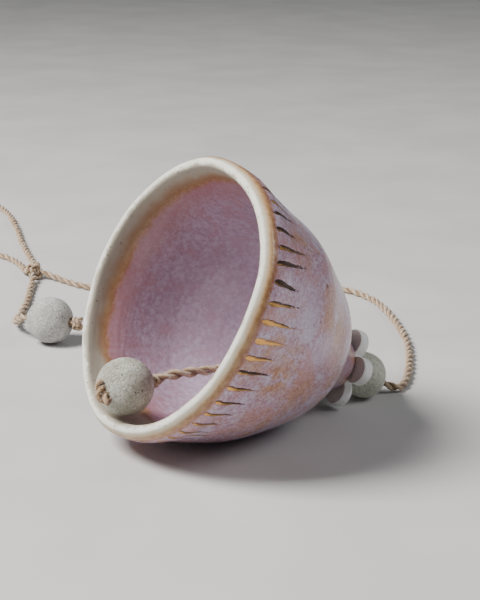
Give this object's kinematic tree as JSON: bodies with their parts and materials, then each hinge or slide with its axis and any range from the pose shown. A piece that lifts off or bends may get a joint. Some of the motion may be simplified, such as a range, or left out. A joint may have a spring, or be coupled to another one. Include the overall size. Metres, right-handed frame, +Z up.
{
  "type": "porcelain bell",
  "caption": "Small hand-made porcelain bell with a beaded twine clapper, a flower spacer and a twine hanging loop.",
  "frame": {"origin": "on the surface the bell lies on, under the middle of the bell's own box", "axes": "+Z up; the bell's axis is in the XZ plane, with its crown towards +X and down and its mouth towards -X and up"},
  "size_m": [0.1522, 0.3421, 0.076],
  "materials": {
    "glaze": "gloss mottled lilac and amber glaze over porcelain, with gold lustre marks and a bare cream lip",
    "flower": "white gloss",
    "celadon": "satin grey-green",
    "stoneware": "matt speckled grey",
    "twine": "natural jute"
  },
  "bodies": {
    "bell": {"bell_shell": "glaze", "hanger_cord": "twine", "loop_knot": "twine", "hanging_loop": "twine", "tail_cord": "twine", "tail_end_knot": "twine"},
    "twine_swivel": {"inner_knot": "twine", "crown_cord": "twine"},
    "clapper": {"clapper_cord": "twine", "clapper_top_knot": "twine", "clapper_end_knot": "twine"},
    "clapper_ball": {"clapper_ball": "stoneware"},
    "flower": {"flower_spacer": "flower"},
    "crown_bead": {"crown_bead": "celadon"},
    "tail_bead": {"tail_bead": "stoneware"}
  },
  "joints": [
    {"name": "twine_twist", "type": "hinge", "parent": "bell", "child": "twine_swivel", "pos_m": [0.02266, 0, 0.01708], "axis": [0.8829, 0, -0.4695], "continuous": true},
    {"name": "clapper_swing", "type": "hinge", "parent": "twine_swivel", "child": "clapper", "pos_m": [0.02266, 0, 0.01708], "axis": [0.0409, 0.9962, 0.077], "range_deg": [0, 54]},
    {"name": "clapper_ball_spin", "type": "hinge", "parent": "clapper", "child": "clapper_ball", "pos_m": [-0.03588, 0.00232, 0.0182], "axis": [-0.999, 0.0396, 0.019], "continuous": true},
    {"name": "flower_spin", "type": "hinge", "parent": "bell", "child": "flower", "pos_m": [0.03387, 0, 0.01112], "axis": [0.8829, 0, -0.4695], "continuous": true},
    {"name": "crown_bead_spin", "type": "hinge", "parent": "bell", "child": "crown_bead", "pos_m": [0.04164, 0, 0.00699], "axis": [0.8829, 0, -0.4695], "continuous": true},
    {"name": "tail_bead_spin", "type": "hinge", "parent": "bell", "child": "tail_bead", "pos_m": [-0.0129, 0.0952, 0.0076], "axis": [0.6157, -0.788, 0], "continuous": true}
  ]
}
